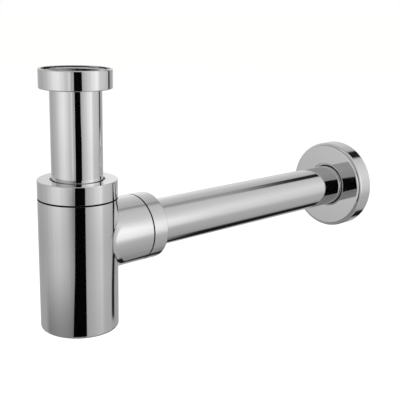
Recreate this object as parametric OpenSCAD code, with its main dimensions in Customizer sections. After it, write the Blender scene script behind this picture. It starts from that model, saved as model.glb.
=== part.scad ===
// Bottle trap for a washbasin: union nut, inlet tube, body with a side branch, outlet tube and wall flange.
// The origin is the centre of the inlet nut's top face. +Z is up and +X runs along the outlet tube.
// Threads are plain cylinders: a male thread has its core diameter and a female one its outer diameter.

/* [Tubes] */
// Outside diameter of the inlet and outlet tubes
tube_od = 32; // [30:0.5:33]
// Wall of both tubes, and thickness of the inlet tube's turned-out rim
tube_wall = 1.2; // [0.8:0.1:1.6]
// Inlet tube in view between the inlet nut and the body nut
inlet_show = 56; // [45:1:120]
// Inlet tube below the top face of the body nut
inlet_insert = 52; // [40:1:70]
// Outlet tube in view between the outlet nut and the wall flange
outlet_show = 194; // [80:1:300]
// Outlet tube inside the outlet nut and the branch
outlet_insert = 24; // [18:1:26]
// Length of the reduced end that enters the wall
spigot_len = 18; // [10:1:40]
// How far the reduced end is below the tube's radius
spigot_relief = 0.2; // [0.18:0.01:0.4]

/* [Inlet nut] */
// Wall of the inlet nut outside its thread
inlet_nut_wall = 1.545; // [1.2:0.005:4]
// Length of the thread for the basin waste, above the gasket
inlet_thread_len = 6; // [5:0.5:14]
// Undercut below the thread, beyond its outer diameter
inlet_undercut = 0.35; // [0.25:0.05:0.4]
// Floor of the inlet nut, which lifts the tube's rim
inlet_floor = 2; // [1.5:0.1:4]
// Thickness of the slip ring under the tube's rim
inlet_slip_t = 0.8; // [0.6:0.1:1.5]
// Thickness of the gasket on the tube's rim
gasket_t = 2; // [1.5:0.1:3]
// Width of the inlet tube's rim beyond its outside
inlet_rim = 4.2; // [3.2:0.1:6]
// Gap between that rim and the outer diameter of the nut's thread
rim_gap = 0.755; // [0.3:0.005:1.5]
// Rounding of that rim's inner edge
rim_round = 1; // [0.5:0.1:1.2]

/* [Body nut] */
// Wall of the body nut outside its thread, which also sets the body's outside
body_nut_wall = 2.5; // [1.8:0.1:5]
// Depth of the thread between the body nut and the neck
body_thread_depth = 1.1; // [0.8:0.05:1.3]
// Crown of the body nut, above the slip ring
body_crown = 2.8; // [2:0.1:5]
// Gap round the inlet tube in the crown
body_nut_gap = 1.1; // [0.4:0.05:1.5]
// Thickness of the slip ring under the crown
body_slip_t = 1.2; // [0.8:0.1:2]
// Width of the pocket for the rubber seal, between the inlet tube and the neck
body_seal_w = 4; // [3:0.1:6]
// Height of that seal
body_seal_h = 4; // [3:0.1:6]
// Height of the seat in the neck above the shell's top edge
body_seat_h = 2.6; // [1:0.1:5]
// Wall of the neck round its mouth
body_lip = 1.4; // [1:0.1:1.8]

/* [Body] */
// Wall of the body's shell
body_wall = 2.4; // [2:0.1:2.8]
// Height of the shell, from its top edge to the underside
shell_h = 85; // [80:1:140]
// Depth of the outlet's centre line below the shell's top edge
outlet_drop = 27.5; // [26:0.5:35]
// Depth of the neck's spigot inside the shell
neck_spigot = 5; // [3:0.5:6]
// Rounding of the shell's bottom edge
bottom_round = 1.8; // [0.5:0.1:2]
// Thickness of the base
base_t = 6; // [5:0.5:9]
// Wall of the dip tube
dip_wall = 1; // [0.8:0.1:1.4]
// Thickness of the dip tube's flange
dip_flange_t = 1.4; // [1:0.1:3]
// Space between the dip tube's lower end and the base
dip_floor = 12; // [8:1:20]

/* [Branch and outlet nut] */
// Wall of the outlet nut outside its thread, which also sets the branch's outside
outlet_nut_wall = 1.545; // [1.2:0.005:4]
// Distance from the body's centre to the outlet nut
branch_reach = 44; // [40:1:60]
// Wall of the branch round its water way
branch_wall = 3; // [2:0.1:4]
// Depth of the tube's stop from the end of the branch's body
stop_depth = 15; // [10:0.5:16]
// Thickness of the tube's stop
stop_t = 3; // [1.5:0.1:3]
// Depth of the thread between the outlet nut and the branch
outlet_thread_depth = 1.48; // [1.2:0.01:1.6]
// Crown of the outlet nut
outlet_crown = 3; // [2:0.1:5]
// Gap round the outlet tube in the crown
outlet_nut_gap = 0.7; // [0.4:0.05:1.2]
// Thickness of the slip ring under the crown
outlet_slip_t = 1.2; // [0.8:0.1:2]
// Width of the pocket for the rubber seal, between the outlet tube and the branch
outlet_seal_w = 2.375; // [1.8:0.005:4]
// Height of that seal
outlet_seal_h = 3.8; // [3:0.1:6]
// Height of the seal's seat above the end of the branch's body
outlet_seat_h = 4; // [2:0.1:6]
// Wall of the branch round its mouth
outlet_lip = 1.1; // [0.9:0.05:1.3]
// How far the mouths of the neck and the branch reach past their seals
lip_reach = 0.4; // [0.2:0.1:0.6]
// Bevel of the rubber seals' inner edges
seal_bevel = 0.9; // [0.4:0.1:1.2]

/* [Wall flange] */
// Outside diameter of the wall flange
flange_od = 70; // [60:1:90]
// Depth of the wall flange from face to wall
flange_t = 14.3; // [13:0.1:25]
// Wall of the flange's face and rim
flange_wall = 2.5; // [1.5:0.1:4]
// Rounding of the flange's front edge
flange_round = 1.2; // [0.3:0.1:1.4]
// Rounding inside the flange, between its face and rim
flange_fillet = 1.2; // [0.5:0.1:2]
// Length of the hub behind the face, which holds the O-ring
hub_len = 7; // [6:0.5:9]
// Wall of the hub
hub_wall = 4.2; // [3.4:0.1:6]
// Thickness of the flange's O-ring
flange_ring_d = 2; // [1.6:0.1:2.4]
// Gap on each side of that O-ring in its groove
groove_gap = 0.2; // [0.1:0.05:0.4]

/* [Clean-out plug] */
// Wall of the base round the plug's head
base_wall = 3.15; // [2:0.05:6]
// Depth of the plug's thread
plug_thread_depth = 1.1; // [0.8:0.1:1.3]
// Length of the plug's thread above its head
plug_thread_len = 5; // [3:0.5:7]
// Width of the plug's head beyond the thread
plug_rim = 2.2; // [2:0.1:2.8]
// Thickness of the plug's head
plug_head_t = 2.2; // [2:0.1:3]
// Thickness of the plug's O-ring
plug_ring_d = 1.4; // [1.2:0.1:1.6]
// Wall of the plug's hollow shank
plug_wall = 2.4; // [1.8:0.1:3]
// Metal left between the coin slot and the hollow shank
plug_web = 1.4; // [1.2:0.1:2]
// Length of the coin slot in the plug's head
slot_len = 24; // [16:1:28]
// Width of the coin slot
slot_w = 3; // [2:0.1:4]
// Depth of the coin slot
slot_depth = 1.2; // [0.8:0.1:1.4]

/* [Clearances] */
// Gap round a tube in its nut's floor, its socket and the flange
tube_gap = 0.3; // [0.2:0.05:0.4]
// Gap between the inlet tube and the dip tube
dip_gap = 0.5; // [0.3:0.05:0.6]
// Gap between a rubber seal and what it seals on
seal_gap = 0.05; // [0.02:0.01:0.1]
// Gap round a loose ring in its pocket
ring_gap = 0.25; // [0.1:0.05:0.4]
// Gap between a female thread's root and a male thread's crest
thread_gap = 0.05; // [0.02:0.01:0.1]
// Solder gap between brazed pieces
braze_gap = 0.05; // [0.02:0.01:0.1]
// Line between a tightened nut and the shoulder below it
seam_gap = 0.25; // [0.1:0.05:0.4]
// Depth of the plug's head below the underside of the base
plug_recess = 0.2; // [0.1:0.05:0.4]
// Line between the plug's head and the base above it
plug_gap = 0.2; // [0.1:0.05:0.3]

/* [Edges] */
// Rounding of the visible edges of nuts
nut_round = 0.6; // [0.2:0.1:0.9]
// Rounding of small edges
edge_round = 0.3; // [0.1:0.05:0.4]

/* [Hidden] */
$fn = 96;

chrome = "silver";
rubber = [0.1, 0.1, 0.1];
nylon = [0.85, 0.85, 0.82];
grey_plastic = [0.45, 0.46, 0.48];
spare = 1;                                   // how far a cutter runs past what it cuts

tube_r = tube_od / 2;
water_r = tube_r - tube_wall;

// Radii in the inlet nut, outwards from the tube
rim_r = tube_r + inlet_rim;
inlet_thread_r = rim_r + rim_gap;
inlet_nut_r = inlet_thread_r + inlet_nut_wall;

// Heights in the inlet nut, downwards from its top face
gasket_top = -inlet_thread_len;
rim_top = gasket_top - gasket_t;
slip_top = rim_top - tube_wall;
floor_top = slip_top - inlet_slip_t;
inlet_nut_bottom = floor_top - inlet_floor;

// Heights in the body nut and the neck
body_nut_h = body_seat_h + dip_flange_t + body_seal_h + body_slip_t + body_crown;
body_nut_top = inlet_nut_bottom - inlet_show;
shell_top = body_nut_top - body_nut_h;
body_seat = shell_top + body_seat_h;
body_seal_z = body_seat + dip_flange_t;
body_slip_z = body_seal_z + body_seal_h;
body_crown_z = body_slip_z + body_slip_t;
neck_top = body_slip_z + lip_reach;

// Radii in the body nut and the neck, outwards from the tube
neck_mouth_r = tube_r + body_seal_w;
neck_core_r = neck_mouth_r + body_lip;
body_thread_r = neck_core_r + body_thread_depth;
body_r = body_thread_r + body_nut_wall;
dip_in_r = tube_r + dip_gap;
dip_out_r = dip_in_r + dip_wall;
neck_bore_r = dip_out_r + ring_gap;

// The body's inside and its base
shell_in_r = body_r - body_wall;
shell_bottom = shell_top - shell_h;
base_top = shell_bottom + base_t;
outlet_z = shell_top - outlet_drop;
inlet_tube_end = body_nut_top - inlet_insert;
dip_end = base_top + dip_floor;

// Radii in the branch and the outlet nut, outwards from the tube
socket_r = tube_r + tube_gap;
outlet_mouth_r = tube_r + outlet_seal_w;
outlet_core_r = outlet_mouth_r + outlet_lip;
outlet_thread_r = outlet_core_r + outlet_thread_depth;
branch_r = outlet_thread_r + outlet_nut_wall;

// Places along the outlet, from the body's centre line
stop_x = branch_reach - stop_depth;
outlet_seat_x = branch_reach + outlet_seat_h;
outlet_slip_x = outlet_seat_x + outlet_seal_h;
outlet_crown_x = outlet_slip_x + outlet_slip_t;
outlet_nut_end = outlet_crown_x + outlet_crown;
branch_end = outlet_slip_x + lip_reach;
outlet_tube_start = outlet_nut_end - outlet_insert;
flange_face = outlet_nut_end + outlet_show;
flange_back = flange_face + flange_t;
outlet_tube_end = flange_back + spigot_len;

// The wall flange
flange_r = flange_od / 2;
hub_r = tube_r + tube_gap + hub_wall;
hub_end = flange_face + flange_wall + hub_len;
groove_x = hub_end - hub_len / 2;
groove_w = flange_ring_d + groove_gap * 2;
ring_line_r = tube_r + seal_gap + flange_ring_d / 2;
groove_r = ring_line_r + flange_ring_d / 2 + seal_gap;

// The clean-out plug
recess_r = shell_in_r - braze_gap - base_wall;
plug_head_r = recess_r - plug_gap;
plug_thread_r = plug_head_r - plug_rim;
plug_core_r = plug_thread_r - plug_thread_depth;
head_bottom = shell_bottom + plug_recess;
head_top = head_bottom + plug_head_t;
recess_top = head_top + plug_gap;
plug_ring_z = recess_top - seal_gap - plug_ring_d / 2;
plug_ring_r = plug_head_r - plug_ring_d;
plug_groove_z = plug_ring_z - plug_ring_d / 2 - seal_gap;
shank_top = head_top + plug_thread_len;
shank_r = plug_core_r - plug_wall;
web_top = head_bottom + slot_depth + plug_web;

// Section of a turned ring between two radii and two heights
module band(r_in, r_out, z_low, z_high) {
    translate([r_in, z_low]) square([r_out - r_in, z_high - z_low]);
}

// Cutter that rounds a section's corner; in_r and in_z point from the corner into the metal
module rounding(r, z, round, in_r, in_z) {
    turn = in_r > 0 ? (in_z > 0 ? 0 : 270) : (in_z > 0 ? 90 : 180);
    translate([r, z]) rotate(turn) difference() {
        translate([-spare, -spare]) square(round + spare);
        translate([round, round]) circle(round);
    }
}

// Places a piece that was turned about Z on the outlet's centre line, with its Z along +X
module along_outlet() {
    translate([0, 0, outlet_z]) rotate([0, 90, 0]) children();
}

module inlet_nut() {
    color(chrome) rotate_extrude() difference() {
        band(tube_r + tube_gap, inlet_nut_r, inlet_nut_bottom, 0);
        band(tube_r, inlet_thread_r, gasket_top - spare, spare);
        band(tube_r, inlet_thread_r + inlet_undercut, floor_top, gasket_top);
        rounding(inlet_nut_r, 0, nut_round, -1, -1);
        rounding(inlet_nut_r, inlet_nut_bottom, nut_round, -1, 1);
        rounding(inlet_thread_r, 0, edge_round, 1, -1);
        rounding(tube_r + tube_gap, inlet_nut_bottom, edge_round, 1, 1);
    }
}

module inlet_slip_ring() {
    color(nylon) rotate_extrude()
        band(tube_r + tube_gap, inlet_thread_r - ring_gap, floor_top, slip_top);
}

module inlet_gasket() {
    color(rubber) rotate_extrude()
        band(water_r, inlet_thread_r - ring_gap, rim_top, gasket_top);
}

module inlet_tube() {
    color(chrome) rotate_extrude() difference() {
        union() {
            band(water_r, tube_r, inlet_tube_end, rim_top);
            band(water_r, rim_r, slip_top, rim_top);
        }
        rounding(water_r, rim_top, rim_round, 1, -1);
        rounding(tube_r, inlet_tube_end, edge_round, -1, 1);
    }
}

module body_nut() {
    color(chrome) rotate_extrude() difference() {
        band(tube_r + body_nut_gap, body_r, shell_top + seam_gap, body_nut_top);
        band(tube_r, body_thread_r + thread_gap, shell_top - spare, body_crown_z);
        rounding(body_r, body_nut_top, nut_round, -1, -1);
        rounding(body_r, shell_top + seam_gap, edge_round, -1, 1);
        rounding(tube_r + body_nut_gap, body_nut_top, edge_round, 1, -1);
    }
}

module body_slip_ring() {
    color(nylon) rotate_extrude()
        band(tube_r + ring_gap, neck_mouth_r - ring_gap, body_slip_z, body_crown_z);
}

// A rubber ring whose inner edges are bevelled
module seal(r_in, r_out, z_low, height) {
    top = z_low + height;
    rotate_extrude() polygon([
        [r_in, z_low + seal_bevel], [r_in + seal_bevel, z_low], [r_out, z_low],
        [r_out, top], [r_in + seal_bevel, top], [r_in, top - seal_bevel]]);
}

module body_seal() {
    color(rubber) seal(tube_r + seal_gap, neck_mouth_r - seal_gap, body_seal_z, body_seal_h);
}

module dip_tube() {
    color(grey_plastic) rotate_extrude() difference() {
        union() {
            band(dip_in_r, dip_out_r, dip_end, body_seal_z);
            band(dip_in_r, neck_mouth_r - ring_gap, body_seat, body_seal_z);
        }
        rounding(dip_in_r, body_seal_z, edge_round, 1, -1);
        rounding(dip_out_r, dip_end, edge_round, -1, 1);
    }
}

module body_neck() {
    color(chrome) rotate_extrude() difference() {
        union() {
            band(neck_bore_r, shell_in_r - braze_gap, shell_top - neck_spigot, shell_top);
            band(neck_bore_r, neck_core_r, shell_top - spare, neck_top);
        }
        band(tube_r, neck_mouth_r, body_seat, neck_top + spare);
        rounding(neck_core_r, neck_top, edge_round, -1, -1);
        rounding(neck_bore_r, shell_top - neck_spigot, edge_round, 1, 1);
    }
}

module body_shell() {
    color(chrome) difference() {
        rotate_extrude() difference() {
            band(shell_in_r, body_r, shell_bottom, shell_top);
            rounding(body_r, shell_bottom, bottom_round, -1, 1);
            rounding(body_r, shell_top, edge_round, -1, -1);
        }
        along_outlet() cylinder(h = body_r + spare, r = water_r);
    }
}

module body_base() {
    color(chrome) rotate_extrude() difference() {
        band(plug_thread_r + thread_gap, shell_in_r - braze_gap, shell_bottom, base_top);
        band(plug_core_r, recess_r, shell_bottom - spare, recess_top);
        rounding(recess_r, shell_bottom, edge_round, 1, 1);
    }
}

module outlet_branch() {
    color(chrome) difference() {
        along_outlet() rotate_extrude() difference() {
            union() {
                band(water_r, branch_r, 0, branch_reach);
                band(water_r, outlet_core_r, branch_reach - spare, branch_end);
            }
            band(water_r - spare, branch_r - branch_wall, -spare, stop_x - stop_t);
            band(water_r - spare, socket_r, stop_x, branch_end + spare);
            band(tube_r, outlet_mouth_r, outlet_seat_x, branch_end + spare);
            rounding(branch_r, branch_reach, edge_round, -1, -1);
            rounding(outlet_core_r, branch_end, edge_round, -1, -1);
        }
        translate([0, 0, shell_bottom]) cylinder(h = shell_h, r = body_r + braze_gap);
    }
}

module outlet_nut() {
    color(chrome) along_outlet() rotate_extrude() difference() {
        band(tube_r + outlet_nut_gap, branch_r, branch_reach + seam_gap, outlet_nut_end);
        band(tube_r, outlet_thread_r + thread_gap, branch_reach - spare, outlet_crown_x);
        rounding(branch_r, outlet_nut_end, nut_round, -1, -1);
        rounding(branch_r, branch_reach + seam_gap, edge_round, -1, 1);
        rounding(tube_r + outlet_nut_gap, outlet_nut_end, edge_round, 1, -1);
    }
}

module outlet_slip_ring() {
    color(nylon) along_outlet() rotate_extrude()
        band(tube_r + ring_gap, outlet_mouth_r - ring_gap, outlet_slip_x, outlet_crown_x);
}

module outlet_seal() {
    color(rubber) along_outlet()
        seal(tube_r + seal_gap, outlet_mouth_r - seal_gap, outlet_seat_x, outlet_seal_h);
}

module outlet_tube() {
    color(chrome) along_outlet() rotate_extrude() difference() {
        union() {
            band(water_r, tube_r, outlet_tube_start, flange_back);
            band(water_r, tube_r - spigot_relief, flange_back - spare, outlet_tube_end);
        }
        rounding(tube_r, outlet_tube_start, edge_round, -1, 1);
    }
}

module wall_flange() {
    color(chrome) along_outlet() rotate_extrude() difference() {
        band(socket_r, flange_r, flange_face, flange_back);
        difference() {
            band(hub_r, flange_r - flange_wall, flange_face + flange_wall, flange_back + spare);
            rounding(flange_r - flange_wall, flange_face + flange_wall, flange_fillet, -1, 1);
        }
        band(tube_r, flange_r - flange_wall - flange_fillet, hub_end, flange_back + spare);
        band(tube_r, groove_r, groove_x - groove_w / 2, groove_x + groove_w / 2);
        rounding(flange_r, flange_face, flange_round, -1, 1);
        rounding(flange_r, flange_back, edge_round, -1, -1);
        rounding(socket_r, flange_face, edge_round, 1, 1);
        rounding(hub_r, hub_end, edge_round, -1, -1);
    }
}

module flange_o_ring() {
    color(rubber) along_outlet() rotate_extrude()
        translate([ring_line_r, groove_x]) circle(flange_ring_d / 2);
}

module cleanout_plug() {
    color(chrome) difference() {
        rotate_extrude() difference() {
            union() {
                band(0, plug_head_r, head_bottom, head_top);
                band(0, plug_core_r, head_bottom, shank_top);
            }
            band(0, shank_r, web_top, shank_top + spare);
            band(plug_ring_r - plug_ring_d / 2 - seal_gap, plug_ring_r + plug_ring_d / 2 + seal_gap,
                 plug_groove_z, head_top + spare);
            rounding(plug_head_r, head_bottom, edge_round, -1, 1);
            rounding(plug_core_r, shank_top, edge_round, -1, -1);
        }
        translate([-slot_len / 2, -slot_w / 2, head_bottom - spare])
            cube([slot_len, slot_w, slot_depth + spare]);
    }
}

module cleanout_o_ring() {
    color(rubber) rotate_extrude() translate([plug_ring_r, plug_ring_z]) circle(plug_ring_d / 2);
}

inlet_nut();
inlet_slip_ring();
inlet_gasket();
inlet_tube();
body_nut();
body_slip_ring();
body_seal();
dip_tube();
body_neck();
body_shell();
body_base();
outlet_branch();
outlet_nut();
outlet_slip_ring();
outlet_seal();
outlet_tube();
wall_flange();
flange_o_ring();
cleanout_plug();
cleanout_o_ring();
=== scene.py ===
import math

import bpy
import numpy as np
from mathutils import Matrix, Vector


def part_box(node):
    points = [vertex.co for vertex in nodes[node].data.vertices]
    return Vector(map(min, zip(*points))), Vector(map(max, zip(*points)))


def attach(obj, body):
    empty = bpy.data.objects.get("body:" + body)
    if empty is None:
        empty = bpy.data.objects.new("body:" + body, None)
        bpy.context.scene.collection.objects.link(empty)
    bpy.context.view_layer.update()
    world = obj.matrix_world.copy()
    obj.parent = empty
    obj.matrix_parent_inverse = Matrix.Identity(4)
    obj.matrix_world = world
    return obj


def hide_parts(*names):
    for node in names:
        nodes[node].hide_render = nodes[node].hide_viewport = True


# A chromed bottle trap for a washbasin, dressed for its picture: plate, brass, rubber and nylon,
# the screw threads that the solids leave plain, the brazed seam, and a white studio.
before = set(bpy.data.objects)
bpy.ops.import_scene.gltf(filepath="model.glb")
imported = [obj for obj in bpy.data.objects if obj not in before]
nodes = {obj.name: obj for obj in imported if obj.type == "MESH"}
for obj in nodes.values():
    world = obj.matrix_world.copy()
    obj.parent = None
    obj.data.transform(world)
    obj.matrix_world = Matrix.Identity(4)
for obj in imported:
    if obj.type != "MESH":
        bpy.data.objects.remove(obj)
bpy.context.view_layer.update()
mm = 0.001
outletHeight = -107.5 * mm      # the outlet's centre line, below the top of the inlet nut


# One node with its settings, its colour stops and its inputs; a socket as input value becomes a link.
def addNode(tree, kind, inputs=None, stops=None, **settings):
    node = tree.nodes.new(kind)
    for key, value in settings.items():
        setattr(node, key, value)
    if stops:
        ramp = node.color_ramp
        ramp.interpolation = "EASE"
        for place, shade in stops[1:-1]:
            ramp.elements.new(place)
        for element, (place, shade) in zip(ramp.elements, stops):
            element.position = place
            element.color = (shade, shade, shade, 1)
    for key, value in (inputs or {}).items():
        socket = node.inputs[key]
        if isinstance(value, bpy.types.NodeSocket):
            tree.links.new(value, socket)
        else:
            socket.default_value = value
    return node


# sRGB hex to linear: each channel c becomes c/12.92 below 0.04045, otherwise ((c + 0.055)/1.055)^2.4.
def linear(hexColour):
    channels = [int(hexColour[i:i + 2], 16) / 255 for i in (1, 3, 5)]
    return [c / 12.92 if c <= 0.04045 else ((c + 0.055) / 1.055) ** 2.4 for c in channels] + [1]


def newMaterial(name):
    material = bpy.data.materials.new(name)
    material.use_nodes = True
    tree = material.node_tree
    tree.nodes.clear()
    shader = addNode(tree, "ShaderNodeBsdfPrincipled")
    addNode(tree, "ShaderNodeOutputMaterial", {"Surface": shader.outputs[0]})
    return material, tree, shader


# Materials
plate = {
    "chrome": "#EBEBEB",
    "brass": "#C9A463",
    "roughness": (0.035, 0.075),    # clean plate, and where it was polished a little less
    "cloudSize": 9 * mm,            # width of the faint clouds that polishing leaves
    "waveSize": 14 * mm,            # width of the slow waves in the polished metal
    "waveDepth": 0.006 * mm,
    "toolMark": 0.35 * mm,          # pitch of the turning marks on bare brass
    "paintedShade": "#0A0A0A",             # painted shade: the dark of the shadow in the line under a nut
    "paintedShadeWidth": 0.6 * mm,         # how far it reaches from the middle of that line
}


# Chrome plate on polished brass: a mirror with slow waves and faint clouds in its gloss.
# shade = chrome, or bare turned brass where the distance from the axis is under insideRadius and the place
# along the axis lies between insideFrom and insideTo; roughness = plate roughness spread by 3-D noise;
# height = slow noise on the plate, and a sine of the place along the axis on the brass. Where a joint line is
# given by its place along the axis, the plate gets painted shade, dark and dull within paintedShadeWidth of it.
def chromePlate(name, along="z", insideRadius=0, insideFrom=0, insideTo=0, joint=None):
    material, tree, shader = newMaterial(name)
    place = addNode(tree, "ShaderNodeTexCoord").outputs["Object"]
    if along == "x":            # bring the outlet's centre line to the axis, then turn it upright
        place = addNode(tree, "ShaderNodeVectorMath", {0: place, 1: (0, 0, -outletHeight)},
                        operation="ADD").outputs[0]
        parts = addNode(tree, "ShaderNodeSeparateXYZ", {0: place})
        place = addNode(tree, "ShaderNodeCombineXYZ", {0: parts.outputs[1], 1: parts.outputs[2],
                                                       2: parts.outputs[0]}).outputs[0]
    clouds = addNode(tree, "ShaderNodeTexNoise", {"Vector": place, "Scale": 1 / plate["cloudSize"],
                                                  "Detail": 4.0, "Roughness": 0.6})
    gloss = addNode(tree, "ShaderNodeMapRange", {"Value": clouds.outputs[0], "From Min": 0.35, "From Max": 0.75,
                                                 "To Min": plate["roughness"][0],
                                                 "To Max": plate["roughness"][1]}).outputs[0]
    waves = addNode(tree, "ShaderNodeTexNoise", {"Vector": place, "Scale": 1 / plate["waveSize"], "Detail": 1.0})
    height = addNode(tree, "ShaderNodeMath", {0: waves.outputs[0], 1: plate["waveDepth"]},
                     operation="MULTIPLY").outputs[0]
    shade = linear(plate["chrome"])
    if insideRadius:
        parts = addNode(tree, "ShaderNodeSeparateXYZ", {0: place})
        across = addNode(tree, "ShaderNodeVectorMath", {0: place, 1: (1, 1, 0)}, operation="MULTIPLY").outputs[0]
        radius = addNode(tree, "ShaderNodeVectorMath", {0: across}, operation="LENGTH").outputs["Value"]
        near = addNode(tree, "ShaderNodeMath", {0: radius, 1: insideRadius}, operation="LESS_THAN").outputs[0]
        above = addNode(tree, "ShaderNodeMath", {0: parts.outputs[2], 1: insideFrom},
                        operation="GREATER_THAN").outputs[0]
        below = addNode(tree, "ShaderNodeMath", {0: parts.outputs[2], 1: insideTo}, operation="LESS_THAN").outputs[0]
        bare = addNode(tree, "ShaderNodeMath", {0: near, 1: above}, operation="MULTIPLY").outputs[0]
        bare = addNode(tree, "ShaderNodeMath", {0: bare, 1: below}, operation="MULTIPLY").outputs[0]
        shade = addNode(tree, "ShaderNodeMix", {0: bare, 6: linear(plate["chrome"]), 7: linear(plate["brass"])},
                        data_type="RGBA").outputs[2]
        gloss = addNode(tree, "ShaderNodeMix", {0: bare, 2: gloss, 3: 0.3}).outputs[0]
        turned = addNode(tree, "ShaderNodeMath", {0: parts.outputs[2], 1: 2 * math.pi / plate["toolMark"]},
                         operation="MULTIPLY").outputs[0]
        turned = addNode(tree, "ShaderNodeMath", {0: turned}, operation="SINE").outputs[0]
        turned = addNode(tree, "ShaderNodeMath", {0: turned, 1: 0.01 * mm}, operation="MULTIPLY").outputs[0]
        height = addNode(tree, "ShaderNodeMix", {0: bare, 2: height, 3: turned}).outputs[0]
    # Painted shade: the chrome is darkened and dulled in a band either side of the joint line, for the shadow in the
    # gap between a nut and its shoulder.
    if joint:
        aside = addNode(tree, "ShaderNodeMath", {0: parts.outputs[2], 1: joint}, operation="SUBTRACT").outputs[0]
        aside = addNode(tree, "ShaderNodeMath", {0: aside}, operation="ABSOLUTE").outputs[0]
        paintedShadeShare = addNode(tree, "ShaderNodeMapRange", {"Value": aside, "From Min": plate["paintedShadeWidth"],
                                                     "From Max": 0.8 * plate["paintedShadeWidth"]}).outputs[0]
        shade = addNode(tree, "ShaderNodeMix", {0: paintedShadeShare, 6: shade, 7: linear(plate["paintedShade"])},
                        data_type="RGBA").outputs[2]
        gloss = addNode(tree, "ShaderNodeMix", {0: paintedShadeShare, 2: gloss, 3: 0.7}).outputs[0]
    bump = addNode(tree, "ShaderNodeBump", {"Height": height, "Distance": 1.0})
    shader.inputs["Metallic"].default_value = 1
    if insideRadius:
        tree.links.new(shade, shader.inputs["Base Color"])
    else:
        shader.inputs["Base Color"].default_value = shade
    tree.links.new(gloss, shader.inputs["Roughness"])
    tree.links.new(bump.outputs[0], shader.inputs["Normal"])
    return material


softParts = {
    "rubber": ("#1B1B1C", "#2A2A2B", 0.62, 1.2 * mm, 0.02 * mm),    # two shades, roughness, grain, grain depth
    "nylon": ("#D9D6CC", "#E4E2DA", 0.42, 3 * mm, 0.01 * mm),
    "polypropylene": ("#70747A", "#7C8086", 0.38, 4 * mm, 0.01 * mm),
}


# Moulded rubber or plastic: shade = noise between two close shades, height = finer noise for the mould's skin.
def moulded(name, kind):
    first, second, roughness, grain, depth = softParts[kind]
    material, tree, shader = newMaterial(name)
    place = addNode(tree, "ShaderNodeTexCoord").outputs["Object"]
    clouds = addNode(tree, "ShaderNodeTexNoise", {"Vector": place, "Scale": 1 / grain, "Detail": 3.0})
    shade = addNode(tree, "ShaderNodeMix", {0: clouds.outputs[0], 6: linear(first), 7: linear(second)},
                    data_type="RGBA").outputs[2]
    skin = addNode(tree, "ShaderNodeTexNoise", {"Vector": place, "Scale": 4 / grain, "Detail": 2.0})
    height = addNode(tree, "ShaderNodeMath", {0: skin.outputs[0], 1: depth}, operation="MULTIPLY").outputs[0]
    bump = addNode(tree, "ShaderNodeBump", {"Height": height, "Distance": 1.0})
    tree.links.new(shade, shader.inputs["Base Color"])
    tree.links.new(bump.outputs[0], shader.inputs["Normal"])
    shader.inputs["Roughness"].default_value = roughness
    return material


# The lines under the body nut and the outlet nut, half way between each nut and its shoulder, where painted shade
# darkens the chrome
bodyJoint = (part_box("body_nut")[0][2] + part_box("body_shell")[1][2]) / 2
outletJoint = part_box("outlet_nut")[0][0] - (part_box("body_nut")[0][2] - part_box("body_shell")[1][2]) / 2

finishes = {
    "inlet_nut": chromePlate("chromePlatedNutInlet"),
    "inlet_tube": chromePlate("chromePlatedTubeInlet"),
    "body_nut": chromePlate("chromePlatedNutBody", "z", 22.6 * mm, -79.6 * mm, -70.7 * mm, bodyJoint),
    "body_neck": chromePlate("chromePlatedNeck"),
    "body_shell": chromePlate("chromePlatedShell", "z", 22.7 * mm, -164 * mm, -81 * mm, bodyJoint),
    "body_base": chromePlate("chromePlatedBase", "z", 18 * mm, -162.3 * mm, -150 * mm),
    "outlet_branch": chromePlate("chromePlatedBranch", "x", 18.3 * mm, 10 * mm, 52 * mm, outletJoint),
    "outlet_nut": chromePlate("chromePlatedNutOutlet", "x", 21.1 * mm, 44.5 * mm, 53.1 * mm, outletJoint),
    "outlet_tube": chromePlate("chromePlatedTubeOutlet", "x", 15.0 * mm, 30 * mm, 290 * mm),
    "wall_flange": chromePlate("chromePlatedFlange", "x", 32.6 * mm, 252.4 * mm, 264 * mm),
    "cleanout_plug": chromePlate("chromePlatedPlug", "z", 19.3 * mm, -162.5 * mm, -150 * mm),
    "inlet_gasket": moulded("mouldedRubberGasket", "rubber"),
    "body_seal": moulded("mouldedRubberBodySeal", "rubber"),
    "outlet_seal": moulded("mouldedRubberOutletSeal", "rubber"),
    "flange_o_ring": moulded("mouldedRubberFlangeRing", "rubber"),
    "cleanout_o_ring": moulded("mouldedRubberPlugRing", "rubber"),
    "inlet_slip_ring": moulded("mouldedNylonInletRing", "nylon"),
    "body_slip_ring": moulded("mouldedNylonBodyRing", "nylon"),
    "outlet_slip_ring": moulded("mouldedNylonOutletRing", "nylon"),
    "dip_tube": moulded("mouldedPolypropyleneDipTube", "polypropylene"),
}
for name, material in finishes.items():
    nodes[name].data.materials.clear()
    nodes[name].data.materials.append(material)
print("materials done:", len(finishes))


# Screw threads
# A ring of section points is carried along rows, as one array of rows x points x 3, and the ring is closed.
# The last row joins the first one again, or else the two end rows are capped. The faces are turned outwards
# where the enclosed volume comes out negative.
def addSweep(name, grid, body, material, again=False):
    rows, points = grid.shape[:2]
    index = np.arange(rows * points).reshape(rows, points)
    here, there = (index, np.roll(index, -1, 0)) if again else (index[:-1], index[1:])
    quads = np.stack([here, np.roll(here, -1, 1), np.roll(there, -1, 1), there], -1).reshape(-1, 4)
    corners = grid.reshape(-1, 3)
    a, b, c, d = (corners[quads[:, i]] for i in range(4))
    volume = (np.cross(b, c) * a).sum() + (np.cross(c, d) * a).sum()
    faces = quads.tolist()
    if not again:
        faces += [index[0][::-1].tolist(), index[-1].tolist()]
    if volume < 0:
        faces = [face[::-1] for face in faces]
    mesh = bpy.data.meshes.new(name)
    mesh.from_pydata(corners.tolist(), [], faces)
    mesh.materials.append(material)
    mesh.shade_smooth()
    mesh.set_sharp_from_angle(angle=math.radians(28))
    piece = bpy.data.objects.new(name, mesh)
    bpy.context.collection.objects.link(piece)
    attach(piece, body)
    return piece


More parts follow.
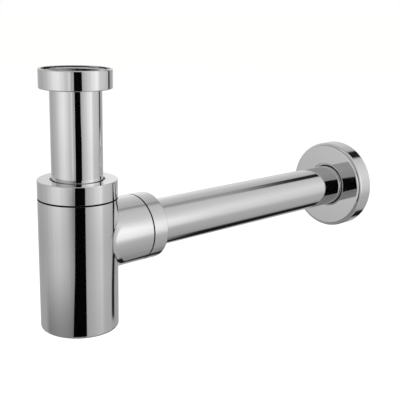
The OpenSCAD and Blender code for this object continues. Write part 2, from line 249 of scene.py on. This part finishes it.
# root and crest are radii in mm, low and high the ends of the thread along its axis, and pitch its rise per turn.
# shift is the share of a pitch by which a nut's ridge stands between those of its screw.
threads = {
    "neckThread": dict(node="body_neck", body="trap", along="z", root=21.38, crest=22.46, low=-79.6, high=-72.0,
                       pitch=2.0, shift=0.0),
    "bodyNutThread": dict(node="body_nut", body="body_nut", along="z", root=22.57, crest=21.5, low=-79.3, high=-71.4,
                          pitch=2.0, shift=0.5),
    "branchThread": dict(node="outlet_branch", body="trap", along="x", root=19.455, crest=20.9, low=44.2, high=51.9,
                         pitch=2.309, shift=0.0),
    "outletNutThread": dict(node="outlet_nut", body="outlet_nut", along="x", root=21.025, crest=19.6, low=44.7,
                            high=52.4, pitch=2.309, shift=0.5),
    "inletNutThread": dict(node="inlet_nut", body="inlet_nut", along="z", root=20.975, crest=19.48, low=-5.9,
                           high=-0.5, pitch=2.309, shift=0.0),
    "plugThread": dict(node="cleanout_plug", body="plug", along="z", root=15.88, crest=16.96, low=-162.2, high=-158.0,
                       pitch=2.0, shift=0.0),
    "baseThread": dict(node="body_base", body="trap", along="z", root=17.07, crest=16.0, low=-162.2, high=-159.3,
                       pitch=2.0, shift=0.5),
}


# Right-hand thread: at turn t the section's centre is low + pitch * t along the axis and at angle 2 pi t, with the
# phase counted from the axis's zero so that nut and screw mesh. Its height grows and shrinks over the first and
# last quarter turn, as a cut thread runs in and out.
def addThread(name, d):
    foot, tip = 0.42 * d["pitch"], 0.07 * d["pitch"]
    start = math.ceil((d["low"] + foot) / d["pitch"] * 96 - d["shift"] * 96) / 96
    end = math.floor((d["high"] - foot) / d["pitch"] * 96 - d["shift"] * 96) / 96
    turn = np.linspace(start, end, int(round((end - start) * 96)) + 1)[:, None]
    fade = np.clip(np.minimum(turn - start, end - turn) / 0.25, 0.02, 1)
    side = np.array([-foot, -tip, tip, foot])
    rise = np.array([0.0, 1.0, 1.0, 0.0])
    radius = d["root"] + (d["crest"] - d["root"]) * rise * fade
    height = (turn + d["shift"]) * d["pitch"] + side * (0.4 + 0.6 * fade)
    angle = 2 * np.pi * turn + 0 * side
    across, over = radius * np.cos(angle), radius * np.sin(angle)
    if d["along"] == "z":
        grid = np.stack([across, over, height], -1) * mm
    else:
        grid = np.stack([height, across, over + outletHeight / mm], -1) * mm
    addSweep(name, grid, d["body"], finishes[d["node"]])


for name, d in threads.items():
    addThread(name, d)
print("threads done:", len(threads))


# The branch widens towards the shell at its sides, and a braze fills the corner that they make
neck = {
    "shellRadius": 25.0,
    "branchRadius": 22.5,
    "wider": (0.0, 1.5, 0.3),   # how much the branch's radius grows at the top, the sides and the bottom, in mm
    "length": 6.0,          # and over which length
    "reach": (0.25, 1.2, 0.8),  # how far the braze's fillet reaches over the shell
    "branchShare": 0.5,     # and how much of that over the branch
    "opens": (48, 76),      # degrees from the top between which both go from top to side
    "closes": (121, 150),
    "steps": 360,
    "filletSteps": 10,
    "neckSteps": 24,
    "proud": 0.01,
    "root": 0.4,            # how deep its hidden side lies
}


def smoothStep(value, low, high):
    share = np.clip((value - low) / (high - low), 0, 1)
    return share * share * (3 - 2 * share)


def unit(vectors):
    return vectors / np.linalg.norm(vectors, axis=-1, keepdims=True)


def dot(first, second):
    return (first * second).sum(-1, keepdims=True)


# At angle a the neck's radius is branchRadius + w(a) * (1 - (x - c(a)) / length)^2, where x is the distance from the
# body's axis, w goes smoothly from top to side to bottom, and the corner c(a) is where the neck meets the shell:
# c^2 + ((branchRadius + w) cos a)^2 = shellRadius^2. The fillet's section is a quadratic curve between its edges A
# and B, tangent to both surfaces: (1-q)^2 A + 2q(1-q) C + q^2 B, where C is where the two tangents meet.
def addNeck(name, d):
    around = np.linspace(0, 2 * np.pi, d["steps"], endpoint=False)[:, None]
    fromTop = np.degrees(np.arccos(np.sin(around)))

    def topSideBottom(values):
        top, side, bottom = values
        return top + (side - top) * smoothStep(fromTop, *d["opens"]) \
            + (bottom - side) * smoothStep(fromTop, *d["closes"])

    wider, reach = topSideBottom(d["wider"]), topSideBottom(d["reach"])
    base = d["branchRadius"] + d["proud"]
    out = np.sqrt(d["shellRadius"] ** 2 - ((base + wider) * np.cos(around)) ** 2)

    def neckPoint(place):
        radius = base + wider * (1 - np.clip((place - out) / d["length"], 0, 1)) ** 2
        return np.stack([place + 0 * radius, radius * np.cos(around), radius * np.sin(around)], -1)

    corner = neckPoint(out)
    onShell, onBranch = np.array([1, 1, 0]), np.array([0, 1, 1])
    shellNormal, branchNormal = unit(corner * onShell), unit(corner * onBranch)
    first = corner + reach[..., None] * unit(branchNormal - dot(branchNormal, shellNormal) * shellNormal)
    firstNormal = unit(first * onShell)
    first = first * (1 - onShell) + firstNormal * (d["shellRadius"] + d["proud"])
    start = out + d["branchShare"] * reach
    last = neckPoint(start)
    firstAlong = unit(corner - first - dot(corner - first, firstNormal) * firstNormal)
    lastAlong = unit(last - neckPoint(start + 0.01))
    both, apart = dot(firstAlong, lastAlong), first - last
    stretch = (both * dot(lastAlong, apart) - dot(firstAlong, apart)) / (1 - both ** 2)
    meeting = first + stretch * firstAlong
    q = np.linspace(0, 1, d["filletSteps"] + 1)[None, :, None]
    fillet = (1 - q) ** 2 * first + 2 * q * (1 - q) * meeting + q ** 2 * last
    onwards = start + (out + d["length"] - start) * np.linspace(0, 1, d["neckSteps"] + 1)[None, 1:]
    end, root = neckPoint(onwards[:, -1:]), corner - d["root"] * unit(shellNormal + branchNormal)
    grid = np.concatenate([fillet, neckPoint(onwards), end - d["root"] * unit(end * onBranch), root], 1)
    addSweep(name, (grid + np.array([0, 0, outletHeight / mm])) * mm, "trap", finishes["outlet_branch"],
             again=True)


addNeck("brazedNeck", neck)
print("neck done")


# The wall flange, turned from the solid's own sizes, with the rounder front edge and mouth of the photo.
# Sizes are radii from the outlet's line, and depths from the flange's front face, in mm.
flange = {
    "radius": 35.0,
    "depth": 14.3,
    "wall": 2.5,
    "edge": 3.0,            # rounding of the front edge
    "mouth": 2.2,           # rounding of the mouth round the tube
    "bore": 16.3,
    "inside": 1.2,          # rounding inside, between face and rim
    "hub": 20.5,
    "hubEnd": 9.5,
    "groove": 18.1,
    "grooveSide": (4.8, 7.2),
    "small": 0.3,           # rounding of the small edges
    "steps": 240,
    "arcSteps": 24,
}


# Points of a quarter circle in the section, by its centre, its radius and its first and last angle in degrees
def arc(across, deep, radius, first, last):
    angle = np.radians(np.linspace(first, last, flange["arcSteps"] + 1))
    return np.stack([across + radius * np.cos(angle), deep + radius * np.sin(angle)], -1)


# The section goes round once: mouth, face, front edge, rim, back edge, inside of the rim and face, hub, and bore
# with the ring's groove. It is turned about the outlet's line.
def addFlange(name, d):
    mouth = arc(d["bore"] + d["mouth"], d["mouth"], d["mouth"], 180, 270)
    flat = [[d["bore"] + d["mouth"] + 0.1, 0], [d["radius"] - d["edge"] - 0.1, 0]]
    front = arc(d["radius"] - d["edge"], d["edge"], d["edge"], -90, 0)
    rim = [[d["radius"], d["edge"] + 0.1], [d["radius"], d["depth"] - d["small"] - 0.1]]
    back = arc(d["radius"] - d["small"], d["depth"] - d["small"], d["small"], 0, 90)
    within = d["radius"] - d["wall"]
    corner = arc(within - d["inside"], d["wall"] + d["inside"], d["inside"], 0, -90)
    hub = [[d["hub"], d["wall"]], [d["hub"], d["hubEnd"]], [d["bore"], d["hubEnd"]]]
    near, far = d["grooveSide"]
    groove = [[d["bore"], far], [d["groove"], far], [d["groove"], near], [d["bore"], near]]
    section = np.concatenate([mouth, flat, front, rim, back, [[within, d["depth"]]], corner, hub, groove])
    turn = np.linspace(0, 2 * np.pi, d["steps"], endpoint=False)[:, None]
    grid = np.stack([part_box("wall_flange")[0][0] / mm + section[:, 1] + 0 * turn, section[:, 0] * np.cos(turn),
                     section[:, 0] * np.sin(turn) + outletHeight / mm], -1)
    piece = addSweep(name, grid * mm, "flange", finishes["wall_flange"], again=True)
    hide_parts("wall_flange")


addFlange("turnedFlange", flange)
print("flange done")

# Studio
studio = {
    "floorDrop": 200 * mm,      # from the trap's underside down to the floor
    "floorSize": 40.0,
    "floor": "#F2F2F0",
    "floorGlow": 0.25,
    "cloth": "#060606",
    "evenLight": 0.85,
    "lampPower": 10.0,
    "lampSize": 1.6,
}

# How bright the studio is at its brightest side, as (share of the way from straight down to straight up, brightness)
byHeight = [(0.0, 0.25), (0.17, 0.33), (0.233, 0.44), (0.322, 0.50), (0.367, 0.53), (0.40, 0.63), (0.433, 0.82),
            (0.456, 0.93), (0.5, 1.0), (0.544, 1.06), (0.578, 1.05), (0.606, 0.98), (0.639, 0.90), (0.672, 0.82),
            (0.722, 0.765), (0.778, 0.73), (0.833, 0.68), (1.0, 0.6)]
# and how much of that is left by side, as (share of a full turn from -X over -Y, +X and +Y back to -X, share left)
bySide = [(0.0, 0.98), (0.042, 0.84), (0.072, 0.68), (0.097, 0.44), (0.122, 0.22), (0.167, 0.34), (0.211, 0.46),
          (0.236, 0.60), (0.267, 0.74), (0.306, 0.94), (0.342, 1.08), (0.353, 1.04), (0.36, 0.90), (0.372, 0.76),
          (0.392, 0.71), (0.431, 0.67), (0.472, 0.56), (0.514, 0.45), (0.542, 0.42), (0.583, 0.56), (0.625, 0.70),
          (0.645, 0.84), (0.66, 0.68), (0.69, 0.62), (0.708, 0.58), (0.75, 0.48), (0.806, 0.48), (0.875, 0.58),
          (0.917, 0.74), (0.958, 0.92), (1.0, 0.98)]


# The studio as a mirror sees it: brightness by height, less a share by side that fades towards the floor and the
# ceiling, less a dark gap past the wall flange. The camera sees white, and matt surfaces a plain even light.
def addStudioWorld():
    world = bpy.data.worlds.new("studio")
    bpy.context.scene.world = world
    world.use_nodes = True
    tree = world.node_tree
    tree.nodes.clear()

    def combine(kind, first, second=0.0):
        return addNode(tree, "ShaderNodeMath", {0: first, 1: second}, operation=kind).outputs[0]

    def step(value, low, high, least=0.0):
        return addNode(tree, "ShaderNodeMapRange", {"Value": value, "From Min": low, "From Max": high, "To Min": least},
                       interpolation_type="SMOOTHSTEP").outputs[0]

    look = addNode(tree, "ShaderNodeTexCoord").outputs["Generated"]
    parts = addNode(tree, "ShaderNodeSeparateXYZ", {0: look})
    side = combine("MULTIPLY", combine("ARCTAN2", parts.outputs[1], parts.outputs[0]), 180 / math.pi)
    height = combine("MULTIPLY", combine("ARCSINE", parts.outputs[2]), 180 / math.pi)
    tall = addNode(tree, "ShaderNodeValToRGB", {0: combine("DIVIDE", combine("ADD", height, 90), 180)}, byHeight)
    wide = addNode(tree, "ShaderNodeValToRGB", {0: combine("DIVIDE", combine("ADD", side, 180), 360)}, bySide)
    uneven = combine("MULTIPLY", step(height, -28, -8, 0.45), step(height, 30, 5, 0.6))
    share = combine("ADD", combine("MULTIPLY", uneven, combine("SUBTRACT", wide.outputs[0], 1)), 1)
    light = combine("MULTIPLY", tall.outputs[0], share)
    low = step(height, -35, -41)
    spread = combine("ADD", combine("MULTIPLY", combine("ABSOLUTE", height), 0.13), 3.5)
    spread = combine("ADD", combine("MULTIPLY", spread, step(height, 53, 48, 0.55)), combine("MULTIPLY", low, 10))
    lean = combine("MULTIPLY", combine("SUBTRACT", step(height, -16, -21), low), 8)
    swing = combine("MULTIPLY", combine("SUBTRACT", step(height, -24, -28), low), 14)
    middle = combine("SUBTRACT", combine("ADD", combine("MULTIPLY", low, 15), swing), combine("ADD", lean, 1))
    off = combine("DIVIDE", combine("ABSOLUTE", combine("SUBTRACT", side, middle)), spread)
    upper = combine("ADD", combine("MULTIPLY", step(height, 46.4, 41), 0.67),
                    combine("MULTIPLY", step(height, 60, 55), 0.33))
    gap = combine("MULTIPLY", step(off, 1.6, 0.7), combine("MULTIPLY", step(height, -53, -48.5), upper))
    gap = combine("MULTIPLY", gap, step(combine("ABSOLUTE", combine("ADD", height, 23.1)), 0.6, 0.75))
    light = combine("MULTIPLY", light, combine("SUBTRACT", 1, combine("MULTIPLY", gap, 0.97)))
    behind = combine("MULTIPLY", step(parts.outputs[0], -0.4, -0.7),
                     step(combine("ABSOLUTE", combine("ADD", height, 7)), 11, 17))
    light = combine("MULTIPLY", light, combine("SUBTRACT", 1, combine("MULTIPLY", behind, 0.5)))
    beside = combine("MULTIPLY", step(combine("ABSOLUTE", combine("ADD", side, 137)), 16, 3),
                     step(combine("ABSOLUTE", combine("ADD", height, 4)), 10, 7.5))
    light = combine("MULTIPLY", light, combine("ADD", 1, combine("MULTIPLY", beside, 1.1)))
    path = addNode(tree, "ShaderNodeLightPath")
    strength = addNode(tree, "ShaderNodeMix", {0: path.outputs["Is Glossy Ray"], 2: studio["evenLight"], 3: light})
    strength = addNode(tree, "ShaderNodeMix", {0: path.outputs["Is Camera Ray"], 2: strength.outputs[0], 3: 1.0})
    glow = addNode(tree, "ShaderNodeBackground", {"Color": (1, 1, 1, 1), "Strength": strength.outputs[0]})
    addNode(tree, "ShaderNodeOutputWorld", {"Surface": glow.outputs[0]})


# A flat stage piece of one polygon, with its own material.
def addStage(name, corners):
    mesh = bpy.data.meshes.new(name)
    mesh.from_pydata(corners, [], [list(range(len(corners)))])
    piece = bpy.data.objects.new(name, mesh)
    bpy.context.collection.objects.link(piece)
    material = bpy.data.materials.new(name)
    material.use_nodes = True
    material.node_tree.nodes.clear()
    mesh.materials.append(material)
    return piece, material.node_tree


# The floor is pale and takes the trap's shadow, with a little glow that only the camera sees, so that it is white.
# A mirror looks through it to the studio's own brightness, and so does anyone who looks up from below it.
def addFloor():
    half = studio["floorSize"] / 2
    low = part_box("body_shell")[0][2] - studio["floorDrop"]
    floor, tree = addStage("paintedFloor", [(-half, -half, low), (half, -half, low), (half, half, low),
                                            (-half, half, low)])
    path = addNode(tree, "ShaderNodeLightPath")
    paint = addNode(tree, "ShaderNodeBsdfDiffuse", {"Color": linear(studio["floor"])})
    shown = addNode(tree, "ShaderNodeMath", {0: path.outputs["Is Camera Ray"], 1: studio["floorGlow"]},
                    operation="MULTIPLY")
    glow = addNode(tree, "ShaderNodeEmission", {"Color": (1, 1, 1, 1), "Strength": shown.outputs[0]})
    lit = addNode(tree, "ShaderNodeAddShader", {0: paint.outputs[0], 1: glow.outputs[0]})
    back = addNode(tree, "ShaderNodeNewGeometry").outputs["Backfacing"]
    through = addNode(tree, "ShaderNodeMath", {0: path.outputs["Is Glossy Ray"], 1: back}, operation="MAXIMUM")
    clear = addNode(tree, "ShaderNodeBsdfTransparent")
    both = addNode(tree, "ShaderNodeMixShader", {0: through.outputs[0], 1: lit.outputs[0], 2: clear.outputs[0]})
    addNode(tree, "ShaderNodeOutputMaterial", {"Surface": both.outputs[0]})


# The black cloth round the camera, which only mirrors see. Its outline is given as (side in degrees as the body
# sees it, height in mm), on a flat sheet that stands square to the side -120.
cloth = {
    "away": 520,
    "square": -120,
    "outline": [(-131, 230), (-131, 40), (-129.5, -20), (-130.5, -150), (-133, -220), (-136, -300), (-141, -360),
                (-152, -520), (-106, -520), (-105, -330), (-104, -200), (-103, -135), (-105, -110),
                (-106.5, 20), (-106.5, 230)],
}


# A corner at side a lies away / cos(a - square) from the body's axis, so that all corners are in one plane.
def addCloth(d):
    corners = []
    for side, height in d["outline"]:
        reach = d["away"] / math.cos(math.radians(side - d["square"]))
        corners.append((reach * math.cos(math.radians(side)) * mm, reach * math.sin(math.radians(side)) * mm,
                        height * mm))
    piece, tree = addStage("blackCloth", corners)
    matt = addNode(tree, "ShaderNodeBsdfDiffuse", {"Color": linear(studio["cloth"])})
    addNode(tree, "ShaderNodeOutputMaterial", {"Surface": matt.outputs[0]})
    piece.visible_camera = piece.visible_diffuse = piece.visible_shadow = False
    piece.visible_transmission = False


# One large soft lamp overhead and to the left. It lights rubber, nylon and the floor, and chrome shows the world.
def addLamp():
    light = bpy.data.lights.new("softbox", "AREA")
    light.shape = "DISK"
    light.size = studio["lampSize"]
    light.energy = studio["lampPower"]
    lamp = bpy.data.objects.new("softbox", light)
    lamp.matrix_world = Matrix.Translation((-0.4, -0.5, 1.3)) @ Matrix.Rotation(math.radians(-22), 4, "Y") \
        @ Matrix.Rotation(math.radians(20), 4, "X")
    lamp.visible_glossy = False
    bpy.context.collection.objects.link(lamp)


view = {"place": (-276.0, -404.5, 40.1), "turn": 46.71, "down": 13.98, "roll": 1.09, "lens": 71.7}


# The camera's forward line is turned from +X towards +Y and then dips; roll turns the picture about that line.
def addCamera(d):
    turn, down, roll = (math.radians(d[key]) for key in ("turn", "down", "roll"))
    forward = np.array([math.cos(turn) * math.cos(down), math.sin(turn) * math.cos(down), -math.sin(down)])
    right = np.array([math.sin(turn), -math.cos(turn), 0])
    up = np.cross(right, forward)
    across = right * math.cos(roll) + up * math.sin(roll)
    upward = -right * math.sin(roll) + up * math.cos(roll)
    lens = bpy.data.cameras.new("camera")
    lens.lens, lens.sensor_width = d["lens"], 36
    camera = bpy.data.objects.new("camera", lens)
    camera.matrix_world = Matrix([[across[i], upward[i], -forward[i], d["place"][i] * mm] for i in range(3)]
                                 + [[0, 0, 0, 1]])
    bpy.context.collection.objects.link(camera)
    bpy.context.scene.camera = camera


addStudioWorld()
addFloor()
addCloth(cloth)
addLamp()
addCamera(view)
bpy.context.scene.view_settings.view_transform = "Standard"
print("studio done")
